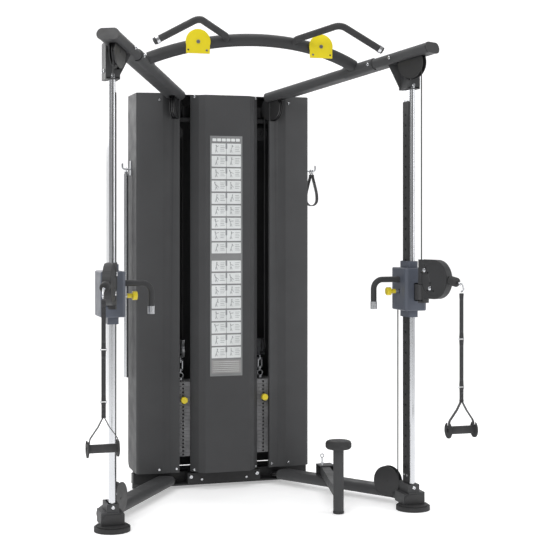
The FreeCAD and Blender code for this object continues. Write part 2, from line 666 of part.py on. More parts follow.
def make_handle_strap():
    rings = []
    for z in (845, 625):
        rings.append(Part.makeTorus(12.0, 2.0, V(HANG.x, HANG.y, z), V(0, 1, 0)))
    bands = [web_strip(859.2, 1056), web_strip(639.2, 830.8), web_strip(554, 610.8, 10, 6)]
    for side in (-1, 1):
        foot = V(HANG.x + side * 64, HANG.y + 8, 428 + 24)
        top = V(HANG.x + side * 8, HANG.y, 553.5)
        leg = Part.makeBox(3, 20, (top - foot).Length, V(-1.5, -10, 0))
        turn = FreeCAD.Rotation(UP, top - foot)
        leg.Placement = FreeCAD.Placement(foot, turn)
        bands.append(leg)
    return group(rings + bands)


def make_hand_grip():
    y, z, x0, x1 = HANG.y + 8, 428.0, HANG.x - 65, HANG.x + 70
    tube = rod(V(x0 + 6, y, z), V(x1 - 6, y, z), 18.5).cut(rod(V(x0, y, z), V(x1, y, z), 12))
    discs = []
    for x in (x0, x1 - 6):
        d = Part.makeCylinder(37, 6, V(x, y, z), V(1, 0, 0))
        d = d.cut(Part.makeCylinder(12, 6, V(x, y, z), V(1, 0, 0)))
        d = d.cut(box((x - 1, x + 7), (y - 16, y + 16), (z + 21, z + 40)))
        discs.append(d)
    return fuse([tube] + discs)


# ---------------------------------------------------------------- accessories and step
def make_lat_bar():
    x, y = -478.0 - 12, 900.0
    bar = rod(V(x, y, 585), V(x, y, 1632), 12.0)
    ends = [rod(V(x, y, 570), V(x, y, 585), 13.0), rod(V(x, y, 1632), V(x, y, 1644), 9.0)]
    eye = Part.makeTorus(10, 3.2, V(x, y, 1654), V(1, 0, 0))
    return fuse([bar] + ends + [eye])


def hook(x, y, z, side):
    """Wall plate and an upturned peg."""
    plate_x = sorted((side * SIDE_X, side * (SIDE_X + 5)))
    base = box(plate_x, (y - 16, y + 16), (z - 32, z + 44))
    peg = round_tube([V(side * (SIDE_X + 5), y, z), V(x, y, z), V(x, y, z + 30)], [12.0], 4.5)
    return fuse([base, peg])


def make_hooks():
    left = hook(-510, 900, 1656.2, -1)
    right = hook(SIDE_X + 72, 850, 1655, 1)
    return group([left, right])


def make_ankle_strap():
    x, y, top, low = 514.0, 850.0, 1635.0, 1470.0
    rings = []
    for side in (-1, 1):
        rings.append(Part.makeTorus(12, 2.5, V(x + side * 5.5, y, 1650.2), V(1, 0, 0)))
    path = [V(x + 5.5, y - 22, top), V(x + 30, y - 22, 1540), V(x + 30, y - 22, low), V(x - 30, y - 22, low),
            V(x - 30, y - 22, 1540), V(x - 5.5, y - 22, top)]
    wire = rounded_path(path, [20, 29, 29, 20])
    strip = Part.makePolygon([V(x + 4, y - 22, top), V(x + 7, y - 22, top), V(x + 7, y + 22, top),
                              V(x + 4, y + 22, top), V(x + 4, y - 22, top)])
    return group(rings + [wire.makePipeShell([strip], True, False)])


STEP_HINGE = V(471, 504, 0)
STEP_POST = V(355, -21, 0)
STEP_PIN = V(449, 484, 0)


def make_step():
    out = (STEP_POST - STEP_HINGE).normalize()
    length = (STEP_POST - STEP_HINGE).Length
    beam = lay(box((-22.5, 22.5), (-20, length - 20), (80.5, 125.5)), STEP_HINGE, out)
    post = rod(V(STEP_POST.x, STEP_POST.y, 14), V(STEP_POST.x, STEP_POST.y, 306), 25)
    foot = rod(V(STEP_POST.x, STEP_POST.y, 0.3), V(STEP_POST.x, STEP_POST.y, 14), 27)
    foot = foot.makeFillet(5, [e for e in foot.Edges if e.Length > 160])
    pad = rod(V(STEP_POST.x, STEP_POST.y, 306), V(STEP_POST.x, STEP_POST.y, 346), 62)
    pad = pad.makeFillet(15, [e for e in pad.Edges if e.Length > 350])
    beam = beam.cut([rod(STEP_HINGE + UP * 70, STEP_HINGE + UP * 140, 8.0), post])
    for turn in (0, 75):
        at = FreeCAD.Rotation(UP, turn).multVec(STEP_PIN - STEP_HINGE) + STEP_HINGE
        beam = beam.cut(rod(at + UP * 111, at + UP * 140, 4.3))
    return group([beam, post, foot, pad])


def make_step_pin():
    x, y = STEP_PIN.x, STEP_PIN.y
    shaft = rod(V(x, y, 126.0), V(x, y, 174), 4.0)
    head = Part.makeTorus(9, 3.0, V(x, y, 182), V(0, 1, 0))
    collar = rod(V(x, y, 143.4), V(x, y, 149), 8.0)
    return fuse([shaft, head, collar])


# ---------------------------------------------------------------- small fixed pieces
def make_guards():
    """Guard discs with their axles beside the outer and inner top pulleys and the base pulleys."""
    parts = []
    for centre, plane, r in ((TOP_C, ARM_OUT, 75), (BASE_PULLEY, BASE_OUT, 75), (INNER_C, ARM_OUT, 65)):
        axis = plane.cross(UP).normalize()
        pieces = []
        for side in (-1, 1):
            pieces.append(Part.makeCylinder(r, 3, centre + axis * (side * 13.5 - 1.5), axis))
        pieces.append(axle(centre, plane, 33))
        parts.append(fuse(pieces))
    above = lay(box((-60, 60), (-20, ARM_LENGTH + 60), (0, 90)), ARM_FRONT, ARM_SLOPE * -1.0)
    for k in (0, 2):
        parts[k] = parts[k].cut([top_arm(), above])
    parts[1] = parts[1].cut([base_arm().cut(disc(BASE_PULLEY, BASE_OUT, 79, 34)),
                             Part.makeCylinder(12, 300, V(BASE_RUN.x, BASE_RUN.y, 150), UP)])
    return both(*parts)


def return_sheaves():
    low = CORNER_LOW + LOW_DIR * R_RETURN
    centres = [
        (V(REAR_RUN.x + R_RETURN, REAR_RUN.y, RETURN_Z), SIDEWAYS),
        (V(OUTER_X - R_RETURN, REAR_RUN.y, RETURN_Z), SIDEWAYS),
        (V(low.x, low.y, LOW_Z + R_RETURN), LOW_DIR),
    ]
    return centres


def make_return_pulleys():
    parts = []
    for centre, plane in return_sheaves():
        parts.append(pulley(centre, plane, R_RETURN, 12.0))
    a, b = LOW_DIR * -1.0, BASE_OUT
    half = math.acos(a.dot(b)) / 2
    centre = TURN_LOW + (a + b).normalize() * (R_RETURN / math.sin(half))
    flat = Part.makeCylinder(R_RETURN + 4, 12, centre - UP * 6, UP)
    groove = ring(centre, UP, R_RETURN + 6, R_RETURN, 7.4)
    flat = cut(flat, groove, Part.makeTorus(R_RETURN, 3.4, centre, UP), rod(centre - UP * 9, centre + UP * 9, BORE_R))
    parts.append(flat)
    return both(*parts)


def make_bolts():
    front = V(0, -1, 0)
    out = [
        bolt(V(POST_X, -56, 105), front, 9),
        bolt(V(POST_X, -52, 2040), front, 9),
        bolt(V(760, -25, 2060), V(1, 0, 0), 8),
        bolt(V(760, 25, 2060), V(1, 0, 0), 8),
        bolt(V(178, 750, 60), front, 11, 8),
        bolt(V(120, 750, 44), front, 7, 5),
        bolt(V(348, 736.6, 2009), V(0.12, -1, 0), 7, 5),
        bolt(V(348, 736.6, 108), V(0.12, -1, 0), 7, 5),
        bolt(V(257, 738, 108), V(0.2, -0.98, 0), 7, 5),
        bolt(V(711 - 3.2, 18, 160), V(-1, 0, 0), 6, 4),
        bolt(V(711 - 3.2, -18, 160), V(-1, 0, 0), 6, 4),
    ]
    for z in (96, 2024):
        out.append(bolt(V(164, 730.2, z + 4), V(0.856, -0.517, 0), 7, 5))
    step = ARM_SLOPE * -1.0
    side = V(-ARM_OUT.y, ARM_OUT.x, 0) * -1.0
    for d in (205, 355 - 15):
        at = ARM_FRONT + step * (d + 10) + side * (TUBE_W / 2 + 5)
        out.append(bolt(V(at.x, at.y, at.z), side, 8, 6))
    return both(*[b.cut(top_arm()) for b in out])


def make_feet():
    parts = []
    disc_low = Part.makeCylinder(81.5, 20, V(728, -41, 0), UP)
    rim = Part.makeCylinder(72, 6.5, V(728, -41, 20), UP)
    pad = fuse([disc_low, rim]).cut([base_arm(), nose_cap()])
    small = Part.makeCylinder(30, 24.8, V(440, 837, 0), UP)
    bumpers = []
    for side in (-1, 1):
        x = STACK_X + side * ROD_OFFSET
        bumpers.append(ring(V(x, STACK_Y, (78 + STACK_Z - 0.2) / 2), UP, 27, ROD_R + 0.05, STACK_Z - 78.2))
    return both(pad, small, *bumpers)


def save(name, shape):
    shape = shape.copy()
    shape.translate(V(0, -Y_ORIGIN, 0))
    shape.exportStep(os.path.join("parts", name + ".step"))


def save_pair(name, shape):
    save(name + "_right", shape)
    save(name + "_left", mirror(shape))


os.makedirs("parts", exist_ok=True)
resting, lifted = make_stack()
single = {
    "base_arms": make_base_arms,
    "arm_end_caps": make_end_caps,
    "rubber_feet": make_feet,
    "posts": make_posts,
    "hole_strips": make_strips,
    "post_brackets": make_brackets,
    "top_arms": make_top_arms,
    "pull_up_bar": make_pull_up_bar,
    "pull_up_grips": make_pull_up_grips,
    "anchor_plates": make_anchor_plates,
    "tower_frame": make_tower_frame,
    "centre_cover": make_centre_cover,
    "wing_covers": make_wings,
    "back_cover": make_back,
    "exercise_chart": make_chart,
    "guide_rods": make_rods,
    "pulley_guards": make_guards,
    "return_pulleys": make_return_pulleys,
    "frame_bolts": make_bolts,
    "accessory_hooks": make_hooks,
    "lat_bar": make_lat_bar,
    "ankle_strap": make_ankle_strap,
    "step_arm": make_step,
    "step_pin": make_step_pin,
}
for name, make in single.items():
    save(name, make())
save("resting_plates", both(resting))
save("frame_cables", both(top_cable(), return_cable()))
save("stack_cables", both(stack_cable()))
save("carriage_cables", both(carriage_cable()))
pairs = {
    "lifted_plates": lifted,
    "selector_rod": make_selector(),
    "selector_pin": make_selector_pin(),
    "carriage_cover": make_carriage_cover(),
    "carriage_frame": make_carriage_frame(),
    "adjust_knob": make_knob(),
    "swivel_housing": make_housing(),
    "swivel_pulley_upper": pulley(drum_point(*UPPER_AXLE), SWIVEL_DIR, R_SWIVEL, lip=4.0),
    "swivel_pulley_lower": pulley(drum_point(*LOWER_AXLE), SWIVEL_DIR, R_SWIVEL, lip=4.0),
    "handle_clip": make_clip(),
    "handle_strap": make_handle_strap(),
    "hand_grip": make_hand_grip(),
    "floating_pulley": pulley(FLOAT_C, ARM_OUT, R_FLOAT),
    "top_pulley": pulley(TOP_C, ARM_OUT, R_TOP),
    "inner_pulley": pulley(INNER_C, ARM_OUT, R_INNER),
    "base_pulley": pulley(BASE_PULLEY, BASE_OUT, R_BASE),
}
for name, shape in pairs.items():
    save_pair(name, shape)
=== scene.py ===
import json
import math

import bpy
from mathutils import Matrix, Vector


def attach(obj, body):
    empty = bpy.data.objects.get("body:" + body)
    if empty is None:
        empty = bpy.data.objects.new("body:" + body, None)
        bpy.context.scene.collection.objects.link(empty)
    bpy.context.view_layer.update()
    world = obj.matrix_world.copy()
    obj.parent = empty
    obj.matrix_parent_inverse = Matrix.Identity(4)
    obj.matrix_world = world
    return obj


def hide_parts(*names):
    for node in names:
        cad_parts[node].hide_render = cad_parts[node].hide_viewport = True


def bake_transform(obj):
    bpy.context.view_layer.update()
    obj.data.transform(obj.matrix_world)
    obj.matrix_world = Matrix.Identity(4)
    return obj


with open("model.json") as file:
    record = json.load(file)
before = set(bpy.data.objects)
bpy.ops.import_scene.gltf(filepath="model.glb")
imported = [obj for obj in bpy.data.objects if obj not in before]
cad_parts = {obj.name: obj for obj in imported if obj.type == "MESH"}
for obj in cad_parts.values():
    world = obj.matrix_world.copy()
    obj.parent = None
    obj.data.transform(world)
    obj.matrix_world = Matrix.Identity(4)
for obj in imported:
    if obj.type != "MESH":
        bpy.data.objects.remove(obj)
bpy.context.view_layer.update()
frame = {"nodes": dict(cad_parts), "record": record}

Y_ORIGIN = 288.0
UP = Vector((0, 0, 1))
FORWARD = Vector((0, -1, 0))


def mm(x, y, z):
    """Drawn millimetres, y = 0 at the posts, to metres in the row frame."""
    return Vector((x / 1000, (y - Y_ORIGIN) / 1000, z / 1000))


# ------------------------------------------------------------------ materials
def new_material(name, color, rough, metal=0.0, coat=0.0):
    mat = bpy.data.materials.new(name)
    mat.use_nodes = True
    shader = mat.node_tree.nodes["Principled BSDF"]
    shader.inputs["Base Color"].default_value = (*color, 1)
    shader.inputs["Roughness"].default_value = rough
    shader.inputs["Metallic"].default_value = metal
    shader.inputs["Coat Weight"].default_value = coat
    shader.inputs["Coat Roughness"].default_value = 0.25
    return mat, mat.node_tree, shader


def coordinates(tree, scale):
    coord = tree.nodes.new("ShaderNodeTexCoord")
    mapping = tree.nodes.new("ShaderNodeMapping")
    mapping.inputs["Scale"].default_value = scale
    tree.links.new(coord.outputs["Object"], mapping.inputs["Vector"])
    return mapping.outputs["Vector"]


def noise(tree, scale, detail=4.0, stretch=(1, 1, 1)):
    tex = tree.nodes.new("ShaderNodeTexNoise")
    tex.inputs["Scale"].default_value = scale
    tex.inputs["Detail"].default_value = detail
    tree.links.new(coordinates(tree, stretch), tex.inputs["Vector"])
    return tex.outputs["Fac"]


def spread(tree, value, low, high):
    node = tree.nodes.new("ShaderNodeMapRange")
    node.inputs["From Min"].default_value = 0.3
    node.inputs["From Max"].default_value = 0.7
    node.inputs["To Min"].default_value = low
    node.inputs["To Max"].default_value = high
    tree.links.new(value, node.inputs["Value"])
    return node.outputs["Result"]


def tint(tree, value, shader, color, low, high):
    """Base colour between two brightnesses of one colour."""
    mix = tree.nodes.new("ShaderNodeMix")
    mix.data_type = "RGBA"
    mix.inputs["A"].default_value = (*[c * low for c in color], 1)
    mix.inputs["B"].default_value = (*[min(c * high, 1) for c in color], 1)
    tree.links.new(spread(tree, value, 0, 1), mix.inputs["Factor"])
    tree.links.new(mix.outputs["Result"], shader.inputs["Base Color"])
    return mix


def vary_roughness(tree, shader, value, low, high):
    tree.links.new(spread(tree, value, low, high), shader.inputs["Roughness"])


def bump(tree, shader, height, strength, distance):
    node = tree.nodes.new("ShaderNodeBump")
    node.inputs["Strength"].default_value = strength
    node.inputs["Distance"].default_value = distance
    tree.links.new(height, node.inputs["Height"])
    tree.links.new(node.outputs["Normal"], shader.inputs["Normal"])


def painted(name, color, rough=0.42, grain=900.0, edge_highlight=0.06):
    """Powder coat: fine orange peel, dust, and a painted highlight on sharp convex edges."""
    mat, tree, shader = new_material(name, color, rough)
    shader.inputs["Specular IOR Level"].default_value = 0.28
    mix = tint(tree, noise(tree, 5.0, 8.0), shader, color, 0.9, 1.12)
    # Painted highlight: faces with high pointiness (convex edges) get a lighter copy of the paint colour,
    # standing in for light catching the edges.
    geometry = tree.nodes.new("ShaderNodeNewGeometry")
    edge = tree.nodes.new("ShaderNodeMapRange")
    edge.inputs["From Min"].default_value = 0.53
    edge.inputs["From Max"].default_value = 0.62
    edge.inputs["To Max"].default_value = edge_highlight * 4
    tree.links.new(geometry.outputs["Pointiness"], edge.inputs["Value"])
    highlight_mix = tree.nodes.new("ShaderNodeMix")
    highlight_mix.data_type = "RGBA"
    highlight_mix.inputs["B"].default_value = (*[min(c * 2.2 + 0.04, 1) for c in color], 1)
    tree.links.new(edge.outputs["Result"], highlight_mix.inputs["Factor"])
    tree.links.new(mix.outputs["Result"], highlight_mix.inputs["A"])
    tree.links.new(highlight_mix.outputs["Result"], shader.inputs["Base Color"])
    vary_roughness(tree, shader, noise(tree, 14.0, 6.0), rough - 0.06, rough + 0.1)
    bump(tree, shader, noise(tree, grain, 2.0), 0.25, 0.0004)
    return mat


def metal(name, color, rough, stretch=(1, 1, 1), smear=0.05, grain=40.0):
    mat, tree, shader = new_material(name, color, rough, metal=1.0)
    tint(tree, noise(tree, 6.0, 6.0), shader, color, 0.93, 1.04)
    vary_roughness(tree, shader, noise(tree, grain, 6.0, stretch), rough, rough + smear)
    bump(tree, shader, noise(tree, grain * 8, 3.0, stretch), 0.015, 0.0003)
    return mat


def rubber(name, color, rough=0.7, grain=1400.0, strength=0.45):
    mat, tree, shader = new_material(name, color, rough)
    tint(tree, noise(tree, 9.0, 8.0), shader, color, 0.85, 1.25)
    vary_roughness(tree, shader, noise(tree, 30.0, 5.0), rough - 0.08, rough + 0.08)
    bump(tree, shader, noise(tree, grain, 3.0), strength, 0.0005)
    return mat


def plastic(name, color, rough=0.4, grain=1800.0):
    mat, tree, shader = new_material(name, color, rough, coat=0.1)
    tint(tree, noise(tree, 8.0, 6.0), shader, color, 0.93, 1.07)
    vary_roughness(tree, shader, noise(tree, 25.0, 6.0), rough - 0.05, rough + 0.08)
    bump(tree, shader, noise(tree, grain, 2.0), 0.2, 0.0003)
    return mat


def woven(name, color, pitch=0.0016, axis=2):
    """Webbing: ribs across the strap crossed by fine yarns."""
    mat, tree, shader = new_material(name, color, 0.85)
    tint(tree, noise(tree, 260.0, 4.0), shader, color, 0.6, 1.6)
    ribs = tree.nodes.new("ShaderNodeTexWave")
    ribs.bands_direction = "XYZ"[axis]
    ribs.inputs["Scale"].default_value = 0.05 / pitch * 2
    ribs.inputs["Distortion"].default_value = 1.0
    ribs.inputs["Detail Scale"].default_value = 4.0
    tree.links.new(coordinates(tree, (10, 10, 10)), ribs.inputs["Vector"])
    shader.inputs["Sheen Weight"].default_value = 0.3
    bump(tree, shader, ribs.outputs["Fac"], 0.5, 0.0006)
    return mat


def cast(name, color):
    mat, tree, shader = new_material(name, color, 0.6, metal=0.2)
    tint(tree, noise(tree, 18.0, 10.0), shader, color, 0.8, 1.25)
    vary_roughness(tree, shader, noise(tree, 60.0, 8.0), 0.5, 0.72)
    bump(tree, shader, noise(tree, 420.0, 8.0), 0.5, 0.0006)
    return mat


MATERIALS = {
    "charcoal": painted("charcoal powder coat", (0.034, 0.0345, 0.036), 0.52),
    "chrome": metal("chrome", (0.62, 0.63, 0.65), 0.16, (1, 1, 0.1)),
    "strip_black": painted("black strip", (0.014, 0.014, 0.015), 0.45),
    "rubber_black": rubber("black rubber", (0.022, 0.022, 0.023)),
    "plastic_black": plastic("black plastic", (0.020, 0.020, 0.021), 0.45),
    "slate": plastic("slate plastic", (0.075, 0.085, 0.11), 0.38),
    # the yellow paint gets a weaker painted edge highlight
    "yellow": painted("yellow paint", (0.66, 0.52, 0.012), 0.38, edge_highlight=0.03),
    "yellow_plastic": plastic("yellow plastic", (0.68, 0.54, 0.014), 0.32),
    "chart": plastic("chart board", (0.205, 0.21, 0.212), 0.5),
    "steel": metal("brushed steel", (0.50, 0.51, 0.53), 0.28, (1, 1, 0.05), 0.12),
    "iron": cast("cast plate", (0.16, 0.16, 0.165)),
    "nylon": plastic("nylon", (0.028, 0.028, 0.030), 0.42),
    "webbing": woven("webbing", (0.022, 0.022, 0.024)),
    "cable": rubber("cable jacket", (0.02, 0.02, 0.021), 0.4, 2500.0, 0.2),
    "foam": rubber("grip foam", (0.03, 0.03, 0.031), 0.8, 900.0, 0.7),
    "stitch": woven("stitching", (0.10, 0.10, 0.11), 0.001),
    "card": plastic("chart card", (0.68, 0.70, 0.70), 0.5),
    "panel": plastic("chart panel", (0.29, 0.285, 0.28), 0.5),
    "ink": plastic("chart ink", (0.24, 0.25, 0.26), 0.5),
}
for entry in frame["record"]["subparts"]:
    node = frame["nodes"][entry["node"]]
    node.data.materials.clear()
    node.data.materials.append(MATERIALS[entry["material_slot"]])


def finish_where(node, material, test):
    """Gives the faces of a CAD node whose centres pass the test a second finish."""
    mesh = frame["nodes"][node].data
    mesh.materials.append(MATERIALS[material])
    index = len(mesh.materials) - 1
    for polygon in mesh.polygons:
        c = polygon.center
        if test(Vector((abs(c.x) * 1000, c.y * 1000 + Y_ORIGIN, c.z * 1000))):
            polygon.material_index = index


SWIVEL_AXLES = ((42, 1154), (80, 1070))  # along the housing, height
for side in ("left", "right"):
    finish_where(f"carriage_frame_{side}", "slate", lambda p: p.x >= 698 and p.y > -56)
    finish_where(f"carriage_frame_{side}", "charcoal", lambda p: p.x < 698 or p.y < -56)
    finish_where(f"carriage_frame_{side}", "chrome", lambda p: p.x < 560 and p.z < 1001)
    finish_where(f"handle_clip_{side}", "rubber_black",
                 lambda p: p.z > 1080 and math.hypot(p.x - 738, p.y + 121) < 249)
    finish_where(f"selector_pin_{side}", "steel", lambda p: p.y > 763)
    finish_where(f"adjust_knob_{side}", "steel", lambda p: p.x > 653.5)
    finish_where(f"swivel_housing_{side}", "chrome", lambda p: any(
        math.hypot((p.x - 738) * 0.32 - (p.y + 121) * 0.947 - a, p.z - z) < 6.5 for a, z in SWIVEL_AXLES))
finish_where("step_arm", "rubber_black", lambda p: p.z > 306.5 or p.z < 14.5)
finish_where("anchor_plates", "chrome", lambda p: math.hypot(p.x - 350, p.z - 2216) < 8 and p.y > 86.5)
GRIP_END = Vector((548, -98, 2190))
GRIP_ALONG = (Vector((340, -91, 2305)) - GRIP_END).normalized()
finish_where("pull_up_grips", "chrome", lambda p: 7 < (p - GRIP_END).dot(GRIP_ALONG) < 23)


# ------------------------------------------------------------------ mesh makers
def mesh_object(name, verts, faces, material, smooth=True):
    mesh = bpy.data.meshes.new(name)
    mesh.from_pydata([tuple(v) for v in verts], [], faces)
    mesh.update()
    for polygon in mesh.polygons:
        polygon.use_smooth = smooth
    mesh.materials.append(MATERIALS[material])
    obj = bpy.data.objects.new(name, mesh)
    bpy.context.scene.collection.objects.link(obj)
    return obj


def rounded(points, radii, steps=14):
    """Points along a polyline whose corners are arcs."""
    out = [points[0]]
    for before, corner, after, r in zip(points, points[1:], points[2:], radii):
        a, b = (before - corner).normalized(), (after - corner).normalized()
        half = a.angle(b) / 2
        centre = corner + (a + b).normalized() * (r / math.sin(half))
        start, end = corner + a * (r / math.tan(half)), corner + b * (r / math.tan(half))
        u, w = start - centre, end - centre
        turn = u.angle(w)
        for k in range(steps + 1):
            f = k / steps
            out.append(centre + (u * math.sin((1 - f) * turn) + w * math.sin(f * turn)) / math.sin(turn))
    return out + [points[-1]]


def dense(points, step=0.02):
    out = [points[0]]
    for a, b in zip(points, points[1:]):
        count = max(1, int((b - a).length / step))
        out += [a.lerp(b, (k + 1) / count) for k in range(count) if (b - a).length > 1e-6]
    return out


def sweep(name, points, profile, side, material, closed=False):
    """Sweeps a closed profile of (across, out) pairs; side is the across direction."""
    verts, faces, n = [], [], len(profile)
    count = len(points)
    for k, p in enumerate(points):
        before = points[(k - 1) % count] if closed or k else p
        after = points[(k + 1) % count] if closed or k < count - 1 else p
        tangent = (after - before).normalized()
        across = (side - tangent * side.dot(tangent)).normalized()
        out = tangent.cross(across)
        verts += [p + across * a + out * b for a, b in profile]
    rows = count if closed else count - 1
    for k in range(rows):
        base, following = k * n, ((k + 1) % count) * n
        for i in range(n):
            j = (i + 1) % n
            faces.append((base + i, base + j, following + j, following + i))
    if not closed:
        faces.append(tuple(reversed(range(n))))
        faces.append(tuple((count - 1) * n + i for i in range(n)))
    return mesh_object(name, verts, faces, material)


def circle_profile(r, n=12):
    return [(r * math.cos(2 * math.pi * k / n), r * math.sin(2 * math.pi * k / n)) for k in range(n)]


def band_profile(width, thick, steps=3):
    """Flat webbing section with rounded selvedges."""
    half, r = width / 2 - thick / 2, thick / 2
    pairs = []
    for side, start in ((1, -90), (-1, 90)):
        for k in range(steps * 2 + 1):
            angle = math.radians(start + 180 * k / (steps * 2))
            pairs.append((side * half + r * math.cos(angle), r * math.sin(angle)))
    return pairs


def tube(name, points, r, material, n=12):
    direction = (points[-1] - points[0]).normalized()
    side = Vector((1, 0.3, 0.2)) if abs(direction.x) < 0.8 else Vector((0.2, 1, 0.3))
    return sweep(name, points, circle_profile(r, n), side, material)


def torus(name, centre, axis, radius, r, material, stretch=1.0):
    axis = axis.normalized()
    u = axis.orthogonal().normalized()
    if abs(u.z) > 0.9 or abs(axis.z) < 0.5:
        u = axis.cross(UP).normalized()
    w = axis.cross(u)
    points = []
    for k in range(40):
        angle = 2 * math.pi * k / 40
        points.append(centre + u * radius * math.cos(angle) + w * radius * stretch * math.sin(angle))
    return sweep(name, points, circle_profile(r, 10), axis, material, closed=True)


def join(name, objects):
    for o in bpy.context.selected_objects:
        o.select_set(False)
    for o in objects:
        o.select_set(True)
    bpy.context.view_layer.objects.active = objects[0]
    bpy.ops.object.join()
    objects[0].name = name
    objects[0].data.name = name
    return objects[0]


# ------------------------------------------------------------------ cables
CABLE_R = 0.003
ARM_IN = Vector((-478, 869, 0)).normalized()
BASE_OUT = Vector((464, -700, 0)).normalized()
CABLE_TOP = (738.0, -121.0)
STACK_T = 1082.0
R_TOP, R_INNER, R_BASE, R_SWIVEL, R_FLOAT, R_RETURN = 57.0, 57.0, 58.0, 42.0, 35.0, 30.0
TOP_Z, INNER_Z, FLOAT_Z, RETURN_Z, DRUM_Z = 2141.0, 1980.0, 725.0, 1850.0, 1112.0
OUTER_X = 0.425
CABLE_ANCHOR_Z = 0.9847


def flip(points, sign):
    return [Vector((p.x * sign, p.y, p.z)) for p in points]


def run(t, z):
    return mm(CABLE_TOP[0] + ARM_IN.x * t, CABLE_TOP[1] + ARM_IN.y * t, z)


def top_route():
    inner_t = STACK_T - R_FLOAT - R_INNER
    reach = math.hypot(inner_t - R_TOP, INNER_Z - TOP_Z)
    tilt = math.atan2(INNER_Z - TOP_Z, inner_t - R_TOP) - math.asin((R_TOP - R_INNER) / reach)
    front = TOP_Z + R_TOP * math.cos(tilt) + (R_TOP * math.sin(tilt) - R_TOP) * math.tan(tilt)
    back_t = STACK_T - R_FLOAT
    back = front + back_t * math.tan(tilt)
    corners = [run(0, TOP_Z), run(0, front), run(back_t, back), run(back_t, INNER_Z)]
    return rounded(corners, [R_TOP / 1000, R_INNER / 1000])


BASE_FOOT = mm(670, 133, 106) + BASE_OUT * (R_BASE / 1000)
LOW_Z = 0.106 - R_BASE / 1000


def return_route():
    a = run(STACK_T + R_FLOAT, RETURN_Z)
    b = a + UP * (R_RETURN / 1000)
    c = Vector((OUTER_X, b.y, b.z))
    low = Vector((BASE_FOOT.x, BASE_FOOT.y, LOW_Z))
    turn = low - BASE_OUT * 0.817
    corner = Vector((OUTER_X, b.y, LOW_Z))
    radius = R_RETURN / 1000
    return rounded([a, b, c, corner, turn, low, BASE_FOOT], [radius] * 4 + [R_BASE / 1000])


SWIVEL = Vector((0.32, -0.947, 0)).normalized()


def drum(a, z, side=0.0):
    return mm(*CABLE_TOP, z) + SWIVEL * (a / 1000) + SWIVEL.cross(UP) * (side / 1000)


def add_cables(sign, side):
    frame_cable = tube(f"frame_cable_top_{side}", flip(top_route(), sign), CABLE_R, "cable")
    back_cable = tube(f"frame_cable_return_{side}", flip(return_route(), sign), CABLE_R, "cable")
    for piece in (frame_cable, back_cable):
        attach(piece, "frame")
        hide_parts("frame_cables")
    rear, front = STACK_T + R_FLOAT, STACK_T - R_FLOAT
    anchor = Vector((BASE_FOOT.x, BASE_FOOT.y, CABLE_ANCHOR_Z))
    ends = (
        ("upper_cable", drum(0, TOP_Z), drum(0, DRUM_Z + R_SWIVEL), "carriage", "carriage_cables"),
        ("lower_cable", BASE_FOOT, anchor, "carriage", "carriage_cables"),
        ("stack_cable_rear", run(rear, RETURN_Z), run(rear, FLOAT_Z), "stack", "stack_cables"),
        ("stack_cable_front", run(front, INNER_Z), run(front, FLOAT_Z), "stack", "stack_cables"),
    )
    for name, a, b, body, node in ends:
        a, b = flip([a, b], sign)
        piece = tube(f"{name}_{side}", [a.lerp(b, k / 90) for k in range(91)], CABLE_R, "cable")
        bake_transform(piece)
        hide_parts(node)
    floor = []
    for k in range(21):
        angle = math.pi * k / 20
        floor.append(run(STACK_T + R_FLOAT * math.cos(angle), FLOAT_Z - R_FLOAT * math.sin(angle)))
    loop = tube(f"stack_cable_loop_{side}", flip(floor, sign), CABLE_R, "cable")
    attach(loop, f"stack_{side}")
    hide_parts("stack_cables")
    wrap = rounded([drum(0, DRUM_Z + R_SWIVEL), drum(0, DRUM_Z), drum(150, DRUM_Z)], [R_SWIVEL / 1000], 20)
    wrap = tube(f"swivel_cable_{side}", flip(wrap, sign), CABLE_R, "cable")
    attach(wrap, f"swivel_{side}")
    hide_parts("carriage_cables")
    a, b = flip([drum(150, DRUM_Z), drum(199, DRUM_Z)], sign)
    stub = tube(f"handle_cable_{side}", [a.lerp(b, k / 80) for k in range(81)], CABLE_R, "cable")
    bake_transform(stub)


# ------------------------------------------------------------------ handles and straps
HANG = (824.0, -380.0)
STRAP_W, STRAP_GAP = 0.019, 0.008


def webbing_loop(name, top, bottom, width, gap, thick=0.0022):
    """A doubled strap sewn flat between two rings, its ends looped round them."""
    points, r = [], gap / 2
    for k in range(13):
        angle = math.pi * k / 12
        points.append(top + Vector((0, -r * math.cos(angle), r * math.sin(angle))))
    for k in range(13):
        angle = math.pi * k / 12
        points.append(bottom + Vector((0, r * math.cos(angle), -r * math.sin(angle))))
    waist = []
    for k, p in enumerate(points):
        waist.append(p)
        following = points[(k + 1) % len(points)]
        if (following - p).length > 0.02:
            for f in (0.06, 0.12, 0.2, 0.35, 0.5, 0.65, 0.8, 0.88, 0.94):
                q = p.lerp(following, f)
                squeeze = 0.28 if 0.1 < f < 0.9 else 0.62
                q.y = top.y + (q.y - top.y) * squeeze
                waist.append(q)
    return sweep(name, waist, band_profile(width, thick), Vector((1, 0, 0)), "webbing", closed=True)


def stitches(name, centre, width, height, y, rows=3):
    parts = []
    for r in range(rows):
        z = centre.z - height / 2 + height * r / max(rows - 1, 1)
        count = int(width / 0.0035)
        for k in range(count):
            x = centre.x - width / 2 + width * (k + 0.5) / count
            a, b = Vector((x - 0.0012, y, z)), Vector((x + 0.0012, y, z))
            parts.append(tube(f"{name}_{r}_{k}", [a, b], 0.0005, "stitch", 6))
    return parts


